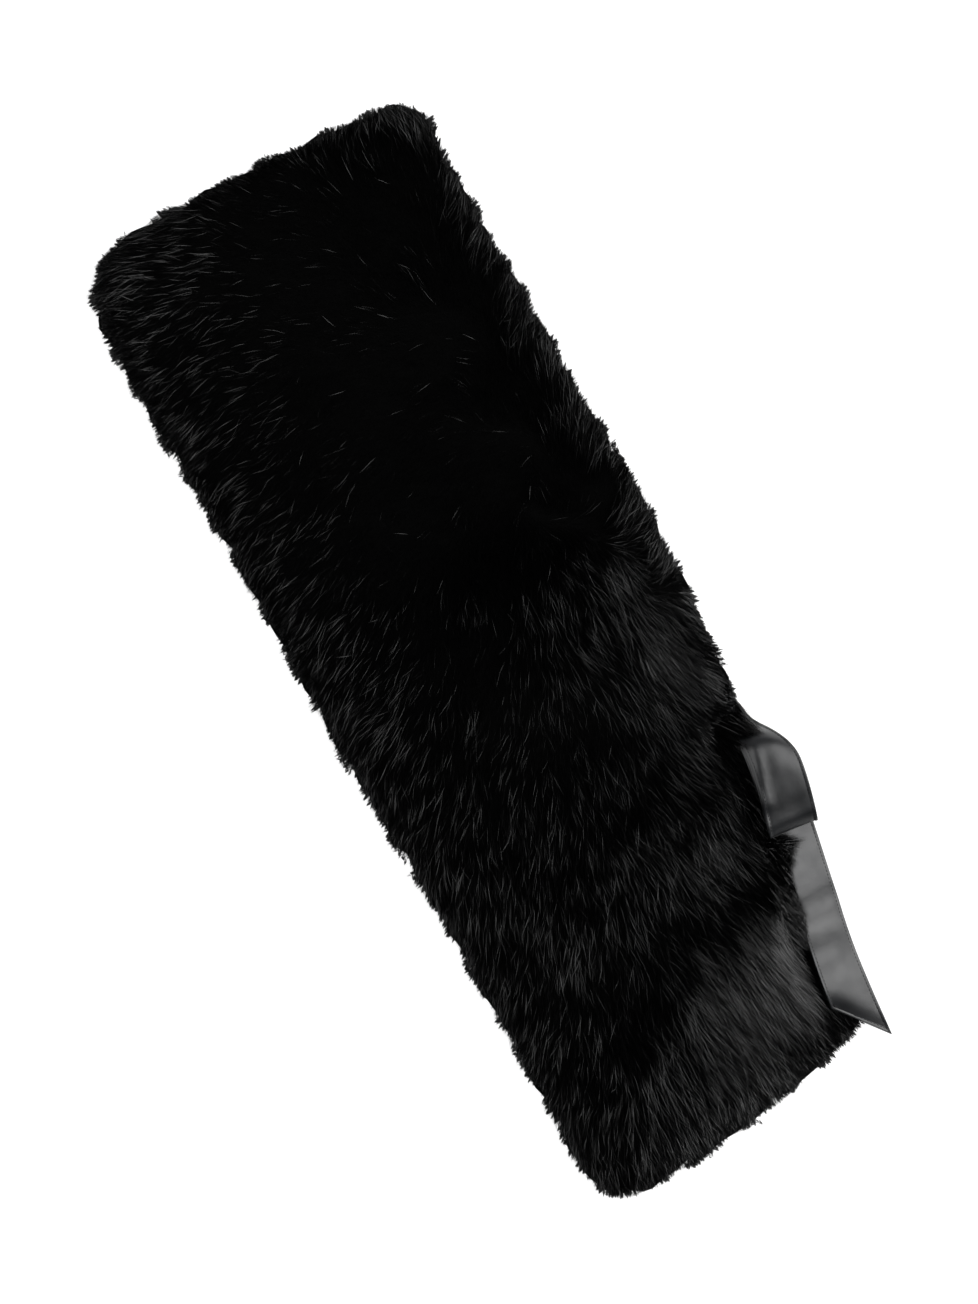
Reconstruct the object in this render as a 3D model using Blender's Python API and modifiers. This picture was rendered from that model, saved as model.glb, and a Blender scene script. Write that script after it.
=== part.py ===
"""A fur collar wrap with a leather half bow on one long edge, laid flat.

The wrap is a fur tube that lies pressed into two panels, one on the other. The tables are in millimetres and
the meshes in metres. X runs across the wrap to the edge that carries the bow, Y runs along it to the plain
end and Z is up. The origin lies on the flat underside, below the middle of the wrap.
"""

import math
from collections import namedtuple

import bmesh
import bpy
from mathutils import Vector

MM = 0.001

# ---- Fur: thicknesses run from the cloth's backing to the tips of the pile ----
SEAM_HEIGHT = 12.0  # the back panel, under the weight of the front one
BACK_CURL = 11.0  # how far the underside's flat stops short of the fur's edge
PANEL_GAP = 0.3  # clearance between the two panels at the seam
SHOULDER = 34.0  # the front panel reaches its full loft this far in from the edge
FOLD_SHOULDER = 40.0  # and its folds fade out over this distance from the edge

# ---- Bow: a leather band sewn double, with a loop and a loose tail ----
BAND_THICKNESS = 2.0
BAND_COLUMNS = 7  # points across the band
BAND_STEPS = 4  # sections made between two rows of a table
BED_CLEARANCE = 1.0  # fur to leather where the tail presses the pile down
BED_REACH = 9.0  # the pile stays down this far beside the tail
BED_SLOPE = 1.0  # and rises again at this slope
BED_START = -153.0  # from here on the tail presses on the pile

# ---- Mesh density ----
SIDE_POINTS = 120  # outline points along each long side
END_POINTS = 36  # outline points along each end
OUTLINE_STEP = 4.0  # spacing of the curve that they are read from

# Where the fur's two long edges run, and how high the front panel's pile stands above the seam.
Section = namedtuple("Section", "y left right loft")
SECTIONS = [
    Section(-430, -145, 117, 18.0),
    Section(-340, -144, 126, 20.0),
    Section(-280, -145, 132, 19.0),
    Section(-230, -146, 138, 20.0),
    Section(-180, -147, 142, 20.5),
    Section(-150, -148, 144, 19.5),
    Section(-110, -150, 149, 20.0),
    Section(-50, -153, 154, 21.0),
    Section(20, -155, 158, 22.5),
    Section(70, -155, 159, 22.0),
    Section(140, -155, 155, 21.0),
    Section(230, -158, 154, 21.5),
    Section(320, -161, 151, 21.0),
    Section(430, -160, 152, 19.5),
]

# The wrap's four corners, counterclockwise, with the rounding of each and the bulge of the edge that
# follows it. A long edge has no bulge, because its sections shape it.
Corner = namedtuple("Corner", "x y rounding bulge")
BOW_END_RIGHT = Corner(119, -404, 24, 0)
PLAIN_END_RIGHT = Corner(152, 421, 27, 7)
PLAIN_END_LEFT = Corner(-160, 430, 60, 0)
BOW_END_LEFT = Corner(-145, -440, 45, -11)

# Locks of fur give the outline its uneven edge: waves that fit round it a whole number of times.
Lock = namedtuple("Lock", "count height phase")
FRONT_LOCKS = [Lock(83, 1.2, 0.4), Lock(53, 1.3, 2.1), Lock(31, 1.0, 4.4)]
BACK_LOCKS = [Lock(79, 1.3, 1.7), Lock(47, 1.2, 5.2), Lock(29, 1.0, 0.9)]

# Soft folds of the laid wrap. Each runs straight from its start to its end, and a negative height is a dip.
Fold = namedtuple("Fold", "start end half_width height")
FOLDS = [
    Fold((150, 25), (-30, 45), 30, 3.0),
    Fold((140, -140), (5, -65), 26, -4.5),
    Fold((110, -182), (-75, -213), 28, 3.0),
    Fold((105, -262), (-85, -268), 22, -4.0),
    Fold((90, -325), (-115, -388), 30, 3.0),
    Fold((-150, -60), (-40, -140), 30, -2.0),
    Fold((-150, 175), (-70, 120), 28, -2.5),
    Fold((-70, 345), (80, 240), 42, -2.5),
    Fold((150, 190), (60, 140), 26, 2.0),
]

# Sections across the band: both edges, and how far its middle arches out of the face that starts as the
# upper one. The loop's lower leaf has that face below, so its arch upwards is a negative one.
Row = namedtuple("Row", "left right arch")
LOOP_ROWS = [
    Row((129.5, -132, 18.2), (146.5, -132, 18.2), 0.0),
    Row((130.0, -142, 18.3), (148.0, -142, 18.3), 0.3),
    Row((130.3, -149, 18.6), (150.5, -149, 18.4), 0.3),
    Row((130.7, -153, 24.0), (153.0, -154, 22.5), 1.5),
    Row((131.0, -155, 33.0), (157.0, -160, 30.0), 3.0),
    Row((131.3, -158, 40.5), (161.5, -168, 36.5), 4.5),
    Row((130.9, -165, 44.5), (165.2, -177, 40.5), 5.5),
    Row((129.3, -180, 46.0), (167.0, -188, 42.0), 5.0),
    Row((125.5, -202, 45.5), (165.2, -203, 42.0), 3.5),
    Row((121.0, -218, 43.5), (161.5, -221, 40.0), 2.0),
    Row((117.6, -230, 41.0), (158.0, -234.5, 37.0), 1.0),
    Row((116.2, -236.5, 35.5), (156.2, -241.5, 30.0), 0.0),
    Row((117.8, -229, 30.5), (158.0, -233, 23.0), 0.0),
    Row((121.5, -214, 29.5), (161.0, -217, 21.0), -0.5),
    Row((126.0, -195, 29.0), (163.0, -196, 20.5), -1.0),
    Row((129.5, -176, 27.5), (160.0, -176, 20.0), -2.0),
    Row((130.5, -161, 23.0), (153.0, -161, 18.7), -2.5),
    Row((130.5, -151, 17.8), (150.0, -151, 17.2), -1.2),
    Row((130.0, -142, 15.9), (148.0, -142, 15.9), -0.3),
    Row((129.5, -132, 15.8), (146.5, -132, 15.8), 0.0),
]
TAIL_ROWS = [
    Row((129.5, -132, 13.4), (146.5, -132, 13.4), 0.0),
    Row((130.0, -142, 13.5), (148.0, -142, 13.5), 0.3),
    Row((130.5, -152, 15.0), (151.5, -152, 13.8), 1.0),
    Row((129.8, -164, 19.0), (155.5, -164, 12.5), 2.0),
    Row((127.5, -182, 23.0), (159.3, -182, 10.5), 1.5),
    Row((123.5, -208, 25.5), (158.0, -208, 9.5), 1.0),
    Row((117.5, -243, 27.0), (152.9, -243, 10.0), 1.0),
    Row((108.8, -293, 28.0), (143.5, -293, 11.5), 1.0),
    Row((100.5, -335, 28.5), (134.6, -340, 12.5), 1.0),
    Row((96.6, -360, 28.0), (130.4, -378, 12.0), 0.8),
    Row((94.2, -380, 27.0), (127.3, -423, 10.0), 0.5),
]

# The slit in the side seam that holds the band's sewn end: lowest and highest corner.
SLIT = ((128.9, -152.0, 11.0), (175.0, -131.5, 19.6))

# ---- Colours of the plain materials ----
FUR_COLOUR = (0.006, 0.006, 0.007)
LEATHER_COLOUR = (0.012, 0.013, 0.014)


# ---------------------------------------------------------------- curves
def hermite(points, values, at):
    """A smooth curve through values at rising points, read at one place."""
    last = len(points) - 1
    at = min(max(at, points[0]), points[last])
    k = max(i for i in range(last) if points[i] <= at)

    def slope(i):
        low, high = max(i - 1, 0), min(i + 1, last)
        return (values[high] - values[low]) / (points[high] - points[low])

    width = points[k + 1] - points[k]
    t = (at - points[k]) / width
    first = (1 + 2 * t) * (1 - t) ** 2 * values[k] + t * (1 - t) ** 2 * width * slope(k)
    second = t * t * (3 - 2 * t) * values[k + 1] - t * t * (1 - t) * width * slope(k + 1)
    return first + second


def at_section(column, y):
    """One column of the section table, read at any y."""
    return hermite([s.y for s in SECTIONS], [getattr(s, column) for s in SECTIONS], y)


def smooth_step(t):
    t = min(max(t, 0.0), 1.0)
    return t * t * (3 - 2 * t)


def spaced(points, count):
    """The first `count` of count + 1 points evenly spaced along a polyline."""
    lengths = [0.0]
    for a, b in zip(points, points[1:]):
        lengths.append(lengths[-1] + (b - a).length)
    found, k = [], 0
    for i in range(count):
        along = lengths[-1] * i / count
        while lengths[k + 1] < along:
            k += 1
        share = (along - lengths[k]) / (lengths[k + 1] - lengths[k])
        found.append(points[k].lerp(points[k + 1], share))
    return found


# ---------------------------------------------------------------- the wrap's outline
def long_edge(column, start, end):
    """Points of a long edge, from one corner's height to the next one's."""
    steps = round(abs(end.y - start.y) / OUTLINE_STEP)
    heights = [start.y + (end.y - start.y) * i / steps for i in range(steps + 1)]
    return [Vector((at_section(column, y), y)) for y in heights]


def short_edge(start, end):
    """Points of an end of the wrap, bulged between its two corners."""
    steps = round(abs(end.x - start.x) / OUTLINE_STEP)
    found = []
    for i in range(steps + 1):
        t = i / steps
        bulge = start.bulge * 4 * t * (1 - t)
        found.append(Vector((start.x + (end.x - start.x) * t, start.y + (end.y - start.y) * t + bulge)))
    return found


def corner_arc(before, after, rounding):
    """A round corner where two edges meet, and what is left of both edges."""
    tip = before[-1].lerp(after[0], 0.5)
    before = [p for p in before if (p - tip).length > rounding]
    after = [p for p in after if (p - tip).length > rounding]
    start, end, steps = before[-1], after[0], 12
    arc = []
    for i in range(1, steps):
        t = i / steps
        arc.append(start * (1 - t) ** 2 + tip * 2 * t * (1 - t) + end * t * t)
    return before, arc, after


def wrap_outline(locks):
    """The fur's outline, counterclockwise: right side, plain end, left side and bow end, each split at the
    middle of its corners, so that the two long sides have points that match."""
    corners = [BOW_END_RIGHT, PLAIN_END_RIGHT, PLAIN_END_LEFT, BOW_END_LEFT]
    edges = [
        long_edge("right", BOW_END_RIGHT, PLAIN_END_RIGHT),
        short_edge(PLAIN_END_RIGHT, PLAIN_END_LEFT),
        long_edge("left", PLAIN_END_LEFT, BOW_END_LEFT),
        short_edge(BOW_END_LEFT, BOW_END_RIGHT),
    ]
    arcs = []
    for i in range(4):
        edges[i - 1], arc, edges[i] = corner_arc(edges[i - 1], edges[i], corners[i].rounding)
        arcs.append(arc)
    outline = []
    for i, edge in enumerate(edges):
        before, after = arcs[i], arcs[(i + 1) % 4]
        half_before, half_after = len(before) // 2, len(after) // 2
        piece = before[half_before:] + edge + after[: half_after + 1]
        outline += spaced(piece, END_POINTS if i % 2 else SIDE_POINTS)
    return with_locks(outline, locks)


def with_locks(outline, locks):
    """Moves each point of an outline in or out by the waves of the locks."""
    count = len(outline)
    moved = []
    for i, point in enumerate(outline):
        run = outline[(i + 1) % count] - outline[i - 1]
        outward = Vector((run.y, -run.x)).normalized()
        turn = 2 * math.pi * i / count
        height = sum(lock.height * math.sin(lock.count * turn + lock.phase) for lock in locks)
        moved.append(point + outward * height)
    return moved


def spine_points(outline):
    """For each outline point, the point of the wrap's middle line that it closes in on."""
    reach = 145.0
    low, high = BOW_END_LEFT.y + reach, PLAIN_END_LEFT.y - reach
    found = []
    for point in outline:
        y = min(max(point.y, low), high)
        middle = (at_section("left", y) + at_section("right", y)) / 2
        found.append(Vector((middle, y)))
    return found


# ---------------------------------------------------------------- the fur's height
def fold_height(x, y):
    """What the folds add to the front panel at one point."""
    point, total = Vector((x, y)), 0.0
    for fold in FOLDS:
        start, run = Vector(fold.start), Vector(fold.end) - Vector(fold.start)
        share = min(max((point - start).dot(run) / run.length_squared, 0.0), 1.0)
        distance = (point - start - run * share).length
        fade = 1 - 0.6 * share
        total += fold.height * fade * math.exp(-((distance / fold.half_width) ** 2))
    return total


def bed_points():
    """Points of the tail's underside past the slit, where the pile gives way to it."""
    points = [point for section in band_sections(TAIL_ROWS) for point in section]
    return [point - Vector((0, 0, BAND_THICKNESS / 2)) for point in points if point.y < BED_START]


def bed_height(x, y, under):
    """The highest that the pile may stand at one point, below and beside the tail."""
    ceiling = math.inf
    for point in under:
        away = max(math.hypot(point.x - x, point.y - y) - BED_REACH, 0.0)
        ceiling = min(ceiling, point.z - BED_CLEARANCE + BED_SLOPE * away)
    return ceiling


def front_height(x, y, inset, under):
    """Height of the front panel's fur above the floor."""
    seam = SEAM_HEIGHT + PANEL_GAP
    round_over = math.sqrt(1 - (1 - min(inset / SHOULDER, 1.0)) ** 2)
    height = at_section("loft", y) * round_over
    height += fold_height(x, y) * smooth_step(inset / FOLD_SHOULDER)
    return max(min(seam + height, bed_height(x, y, under)), seam + 0.02 * inset)


# ---------------------------------------------------------------- the band
def band_sections(rows):
    """Smooth sections through a table of rows, each as points across the band."""
    places = list(range(len(rows)))
    found = []
    for step in range((len(rows) - 1) * BAND_STEPS + 1):
        at = step / BAND_STEPS
        left = Vector([hermite(places, [r.left[axis] for r in rows], at) for axis in range(3)])
        right = Vector([hermite(places, [r.right[axis] for r in rows], at) for axis in range(3)])
        found.append((left, right, hermite(places, [r.arch for r in rows], at)))
    sections = []
    for i, (left, right, arch) in enumerate(found):
        before, after = found[max(i - 1, 0)], found[min(i + 1, len(found) - 1)]
        run = (after[0] + after[1]) - (before[0] + before[1])
        outward = (right - left).cross(run).normalized() * -1
        section = []
        for k in range(BAND_COLUMNS):
            t = k / (BAND_COLUMNS - 1)
            section.append(left.lerp(right, t) + outward * (arch * 4 * t * (1 - t)))
        sections.append(section)
    return sections


# ---------------------------------------------------------------- meshes
def loop_of(bm, points):
    return [bm.verts.new(Vector(point) * MM) for point in points]


def skin(bm, first, second, closed):
    """Quads between two rows of points."""
    count = len(first)
    for i in range(count if closed else count - 1):
        j = (i + 1) % count
        bm.faces.new((first[i], first[j], second[j], second[i]))


def new_object(name, bm, material, collection):
    bmesh.ops.recalc_face_normals(bm, faces=bm.faces)
    mesh = bpy.data.meshes.new(name)
    bm.to_mesh(mesh)
    bm.free()
    mesh.materials.append(material)
    mesh.shade_smooth()
    mesh.set_sharp_from_angle(angle=math.radians(50))
    made = bpy.data.objects.new(name, mesh)
    collection.objects.link(made)
    return made


def close_top(bm, ring):
    """Closes the innermost ring: quads from long side to long side, and a fan at each end."""
    right, left = 0, SIDE_POINTS + END_POINTS
    for k in range(SIDE_POINTS):
        a, b = right + k, right + k + 1
        c, d = left + SIDE_POINTS - k - 1, left + SIDE_POINTS - k
        bm.faces.new([ring[i % len(ring)] for i in (a, b, c, d)])
    for start in (SIDE_POINTS, left + SIDE_POINTS):
        bm.faces.new([ring[(start + k) % len(ring)] for k in range(END_POINTS + 1)])


def front_panel(collection, material):
    """The upper panel: flat backing below, rings of fur that rise over the shoulder to the folded top."""
    outline = wrap_outline(FRONT_LOCKS)
    spine = spine_points(outline)
    under = bed_points()
    bm = bmesh.new()
    seam = SEAM_HEIGHT + PANEL_GAP
    rings = [loop_of(bm, [(p.x, p.y, seam) for p in outline])]
    bm.faces.new(reversed(rings[0]))
    for share in (0.01, 0.035, 0.07, 0.12, 0.19, 0.27, 0.37, 0.5, 0.65, 0.82):
        ring = []
        for edge, middle in zip(outline, spine):
            point = edge.lerp(middle, share)
            inset = (point - edge).length
            ring.append((point.x, point.y, front_height(point.x, point.y, inset, under)))
        rings.append(loop_of(bm, ring))
    for first, second in zip(rings, rings[1:]):
        skin(bm, first, second, closed=True)
    close_top(bm, rings[-1])
    return new_object("fur_front", bm, material, collection)


def back_panel(collection, material):
    """The lower panel: it lies flat on the floor and its fur curls up to the seam."""
    outline = wrap_outline(BACK_LOCKS)
    spine = spine_points(outline)
    bm = bmesh.new()
    rings = []
    for turn in (0, 22, 45, 68, 90):
        angle = math.radians(turn)
        inset = BACK_CURL * (1 - math.sin(angle))
        height = SEAM_HEIGHT * (1 - math.cos(angle))
        ring = []
        for edge, middle in zip(outline, spine):
            point = edge + (middle - edge).normalized() * inset
            ring.append((point.x, point.y, height))
        rings.append(loop_of(bm, ring))
    for first, second in zip(rings, rings[1:]):
        skin(bm, first, second, closed=True)
    bm.faces.new(reversed(rings[0]))
    bm.faces.new(rings[-1])
    return new_object("fur_back", bm, material, collection)


def band(name, rows, collection, material):
    """A stretch of the leather band: a surface through its sections, thickened to both sides."""
    bm = bmesh.new()
    lines = [loop_of(bm, section) for section in band_sections(rows)]
    for first, second in zip(lines, lines[1:]):
        skin(bm, first, second, closed=False)
    made = new_object(name, bm, material, collection)
    thicken = made.modifiers.new("leather", "SOLIDIFY")
    thicken.thickness = BAND_THICKNESS * MM
    thicken.offset = 0
    thicken.use_even_offset = True
    return made


def seam_slit(panel, collection):
    """Cuts the slit that the band's sewn end lies in."""
    low, high = Vector(SLIT[0]) * MM, Vector(SLIT[1]) * MM
    bpy.ops.mesh.primitive_cube_add(size=1, location=(low + high) / 2)
    cutter = bpy.context.object
    cutter.name = "slit_cutter"
    cutter.scale = high - low
    bpy.ops.object.transform_apply(location=False, rotation=False, scale=True)
    for home in list(cutter.users_collection):
        home.objects.unlink(cutter)
    collection.objects.link(cutter)
    cutter.hide_render = True
    cutter.display_type = "WIRE"
    cut = panel.modifiers.new("slit", "BOOLEAN")
    cut.object = cutter
    cut.operation = "DIFFERENCE"


def plain_material(name, colour, roughness):
    material = bpy.data.materials.new(name)
    material.use_nodes = True
    shader = material.node_tree.nodes["Principled BSDF"]
    shader.inputs["Base Color"].default_value = (*colour, 1)
    shader.inputs["Roughness"].default_value = roughness
    shader.inputs["Metallic"].default_value = 0
    material.diffuse_color = (*colour, 1)
    return material


def new_collection(name):
    made = bpy.data.collections.new(name)
    bpy.context.scene.collection.children.link(made)
    return made


def main():
    for leftover in list(bpy.data.objects):
        bpy.data.objects.remove(leftover)
    wrap, cutters = new_collection("fur_collar_wrap"), new_collection("cutters")
    fur = plain_material("fur", FUR_COLOUR, 0.75)
    leather = plain_material("leather", LEATHER_COLOUR, 0.35)
    back_panel(wrap, fur)
    seam_slit(front_panel(wrap, fur), cutters)
    band("ribbon_loop", LOOP_ROWS, wrap, leather)
    band("ribbon_tail", TAIL_ROWS, wrap, leather)


main()
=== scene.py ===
# %% [markdown]
# # A fur collar wrap with a leather half bow
# The real object is a scarf of long black faux fur: two panels of pile fabric, joined by a seam all round.
# A band of black leather comes out of one side seam and makes a loop and a loose tail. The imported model
# gives the plain solids at their real size, and this lesson dresses them with undercoats, hair by hair
# pile, leather and thread. Sizes are in millimetres in tables and arrays, and in metres in meshes.

# %% Load the frame
import math
from collections import namedtuple

import bmesh
import bpy
import numpy as np
from mathutils import Matrix, Vector
from mathutils.bvhtree import BVHTree
from mathutils.kdtree import KDTree


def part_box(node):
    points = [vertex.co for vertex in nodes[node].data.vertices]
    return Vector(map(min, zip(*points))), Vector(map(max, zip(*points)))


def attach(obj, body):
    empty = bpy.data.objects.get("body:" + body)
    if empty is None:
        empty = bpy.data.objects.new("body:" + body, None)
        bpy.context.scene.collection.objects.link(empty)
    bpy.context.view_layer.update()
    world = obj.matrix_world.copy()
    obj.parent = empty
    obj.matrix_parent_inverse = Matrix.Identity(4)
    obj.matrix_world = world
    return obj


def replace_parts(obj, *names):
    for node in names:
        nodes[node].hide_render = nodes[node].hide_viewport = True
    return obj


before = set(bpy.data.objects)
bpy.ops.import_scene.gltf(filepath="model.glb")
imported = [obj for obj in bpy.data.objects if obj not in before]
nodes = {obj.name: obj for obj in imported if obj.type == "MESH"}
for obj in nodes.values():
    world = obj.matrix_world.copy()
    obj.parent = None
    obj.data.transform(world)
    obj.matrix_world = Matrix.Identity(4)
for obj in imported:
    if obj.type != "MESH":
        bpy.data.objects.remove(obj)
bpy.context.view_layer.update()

MM = 0.001

# %% [markdown]
# ## The camera
# The wrap lies flat, turned 28.5 degrees on the table, and is seen from straight above. The camera could be
# orthographic, but a long lens from almost four metres keeps a little real perspective, so that the raised
# loop leans outwards as it does to the eye. Its distance follows from the size of one pixel.

# %% Camera
IMAGE_HEIGHT = 1304
PIXEL = 0.8  # millimetres on the wrap for one pixel
TURN = math.radians(28.5)
LENS = 135.0
SENSOR = 36.0
VIEW_CENTRE = Vector((-10.0, 0.0, 12.0))
FAR_AWAY = 100.0  # metres

camera_data = bpy.data.cameras.new("camera")
camera_data.lens = LENS
camera_data.sensor_width = SENSOR
camera_data.clip_end = FAR_AWAY
camera = bpy.data.objects.new("camera", camera_data)
bpy.context.scene.collection.objects.link(camera)
bpy.context.scene.camera = camera
distance = IMAGE_HEIGHT * PIXEL * LENS / SENSOR
camera.location = (VIEW_CENTRE + Vector((0, 0, distance))) * MM
camera.rotation_euler = (0, 0, -TURN)
print("camera", round(distance), "mm above the wrap")

# %% [markdown]
# ## Colours and nodes
# Colours are written as the hex values that a paint program shows. Shaders count in linear light, so one
# function converts them. Another adds a shader node, sets it and links it, which keeps each material short.

# %% Colour and node helpers
def linear(hex_colour):
    """A colour such as "#1a1c20" as linear red, green, blue and alpha."""
    found = []
    for start in (1, 3, 5):
        value = int(hex_colour[start : start + 2], 16) / 255
        found.append(value / 12.92 if value <= 0.04045 else ((value + 0.055) / 1.055) ** 2.4)
    return (*found, 1.0)


def add_node(material, kind, settings=None, values=None, links=None, feeds=None):
    """Adds a node. settings are its properties, values its sockets' constants, links its sockets' sources.
    If feeds is given, the node's first output is linked to that socket."""
    tree = material.node_tree
    node = tree.nodes.new(kind)
    for name, value in (settings or {}).items():
        setattr(node, name, value)
    for name, value in (values or {}).items():
        node.inputs[name].default_value = value
    for name, source in (links or {}).items():
        tree.links.new(source, node.inputs[name])
    if feeds is not None:
        tree.links.new(node.outputs[0], feeds)
    return node


def new_material(name):
    """An empty material with its output node. It returns the material and the surface socket."""
    material = bpy.data.materials.new(name)
    material.use_nodes = True
    material.node_tree.nodes.clear()
    output = material.node_tree.nodes.new("ShaderNodeOutputMaterial")
    return material, output.inputs["Surface"]


print("mid grey in linear light:", round(linear("#808080")[0], 3))

# %% [markdown]
# ## Floor and light
# Black fur shows only by the glints on its hairs. A hair lying flat mirrors what stands at one side of it,
# so the light comes from two broad soft sources at the sides and nothing hangs overhead: the middle stays
# deep black. Suns with a wide angle are such softboxes at any distance. The floor is a pale light table
# that glows a little itself, which keeps the shadows on it faint.

# %% Floor
FLOOR_HALF = 20.0  # metres
FLOOR_GLOW = 0.88

floor_material, surface = new_material("pale_light_table")
add_node(
    floor_material,
    "ShaderNodeBsdfPrincipled",
    values={
        "Base Color": linear("#b4b4b4"),
        "Roughness": 0.9,
        "Specular IOR Level": 0.0,
        "Emission Color": (1, 1, 1, 1),
        "Emission Strength": FLOOR_GLOW,
    },
    feeds=surface,
)

floor_mesh = bmesh.new()
bmesh.ops.create_grid(floor_mesh, x_segments=1, y_segments=1, size=FLOOR_HALF)
floor_data = bpy.data.meshes.new("floor")
floor_mesh.to_mesh(floor_data)
floor_mesh.free()
floor = bpy.data.objects.new("floor", floor_data)
floor_data.materials.append(floor_material)
bpy.context.scene.collection.objects.link(floor)
print("floor:", round(2 * FLOOR_HALF), "m wide")

# %% Lights
RIGHT = Vector((math.cos(TURN), -math.sin(TURN), 0))  # to the right in the camera's view
UP = Vector((math.sin(TURN), math.cos(TURN), 0))  # and to its top


def soft_sun(name, across, up, height, strength, spread):
    """A sun that shines from a direction given in the camera's view, as wide as spread in degrees."""
    data = bpy.data.lights.new(name, "SUN")
    data.energy = strength
    data.angle = math.radians(spread)
    light = bpy.data.objects.new(name, data)
    towards = RIGHT * across + UP * up + Vector((0, 0, height))
    light.rotation_euler = towards.to_track_quat("Z", "Y").to_euler()
    bpy.context.scene.collection.objects.link(light)


soft_sun("softbox_right", across=1.0, up=0.3, height=1.0, strength=3.4, spread=60)
soft_sun("softbox_left", across=-1.0, up=0.05, height=1.0, strength=1.3, spread=50)

world = bpy.data.worlds.new("dim_studio")
world.use_nodes = True
background = world.node_tree.nodes["Background"]
background.inputs["Color"].default_value = (1, 1, 1, 1)
background.inputs["Strength"].default_value = 0.02
bpy.context.scene.world = world
bpy.context.scene.view_settings.view_transform = "Standard"

# %% [markdown]
# ## Pile
# Faux fur is modacrylic fibre, drawn thin and smooth, knitted into a backing and sheared to length. It is
# black all through, so nearly all its colour is gloss. Roots are darker, tips are a little worn and paler,
# and no two fibres took the dye alike. A hair shader would be lost in the export, so this is a plain glossy
# surface on thin blades, whose own map says which hair it is and how far along it is. There are two
# finishes, as in the cloth: thick polished guard hairs, and fine crimped underfur that is duller.

# %% Material of the pile
HAIR_MAP = "hair"


def pile_material(name, root, tip, other_tip, roughness, gloss):
    """Modacrylic fibre. The map's first axis is a number of the hair's own, its second runs root to tip."""
    material, surface = new_material(name)
    hair = add_node(material, "ShaderNodeUVMap", {"uv_map": HAIR_MAP})
    split = add_node(material, "ShaderNodeSeparateXYZ", links={"Vector": hair.outputs["UV"]})
    dyed = add_node(
        material,
        "ShaderNodeMix",
        {"data_type": "RGBA"},
        {"A": linear(tip), "B": linear(other_tip)},
        {"Factor": split.outputs["X"]},
    )
    grown = add_node(
        material,
        "ShaderNodeMix",
        {"data_type": "RGBA"},
        {"A": linear(root)},
        {"Factor": split.outputs["Y"], "B": dyed.outputs["Result"]},
    )
    add_node(
        material,
        "ShaderNodeBsdfPrincipled",
        values={"Roughness": roughness, "IOR": 1.5, "Specular IOR Level": gloss},
        links={"Base Color": grown.outputs["Result"]},
        feeds=surface,
    )
    return material


guard_pile = pile_material("modacrylic_guard_hair", "#010101", "#030304", "#060607", 0.27, 0.5)
underfur = pile_material("modacrylic_underfur", "#010101", "#020203", "#050506", 0.36, 0.22)
print("pile:", guard_pile.name, "and", underfur.name)

# %% [markdown]
# Below them is the dense matt ground of short fibres on the backing. It is hardly seen, but it keeps the
# floor from shining through. It is nearly black, with a bump of combed streaks about a millimetre wide.

# %% Material of the undercoat
STREAKS_PER_MM = 0.9
STREAK_TURN = math.radians(35)
STREAK_DEPTH = 1.0


def mottled(material, place, scale, detail, shades, roughness=0.5):
    """Noise over a place, and the colour that it picks between two shades."""
    noise = add_node(
        material,
        "ShaderNodeTexNoise",
        values={"Scale": scale, "Detail": detail, "Roughness": roughness},
        links={"Vector": place},
    )
    colour = add_node(
        material,
        "ShaderNodeMix",
        {"data_type": "RGBA"},
        {"A": linear(shades[0]), "B": linear(shades[1])},
        {"Factor": noise.outputs["Fac"]},
    )
    return noise.outputs["Fac"], colour.outputs["Result"]


def undercoat_material():
    material, surface = new_material("matt_undercoat")
    place = add_node(material, "ShaderNodeTexCoord").outputs["Object"]
    combed = add_node(
        material,
        "ShaderNodeMapping",
        values={"Rotation": (0, 0, STREAK_TURN), "Scale": (1.0, 0.25, 1.0)},
        links={"Vector": place},
    )
    fibres, shade = mottled(
        material, combed.outputs["Vector"], STREAKS_PER_MM / MM, 3.0, ("#010101", "#030303")
    )
    bump = add_node(
        material,
        "ShaderNodeBump",
        values={"Strength": 0.6, "Distance": STREAK_DEPTH * MM},
        links={"Height": fibres},
    )
    add_node(
        material,
        "ShaderNodeBsdfPrincipled",
        values={"Roughness": 0.95, "Specular IOR Level": 0.05},
        links={"Base Color": shade, "Normal": bump.outputs["Normal"]},
        feeds=surface,
    )
    return material


undercoat = undercoat_material()
print(undercoat.name, "has", STREAKS_PER_MM, "streaks to the millimetre")

# %% [markdown]
# ## Leather
# The band is black nappa: soft full-grain leather, dyed through and finished with a thin satin coat. It has
# a fine pebble of pores and creases less than a millimetre apart, and soft uneven waves of a centimetre or
# two. Both are drawn on Object coordinates, so that they keep their real size on the loop and on the tail.

# %% Material of the leather
PORE_PITCH = 0.7
WAVE_LENGTH = 14.0


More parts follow.
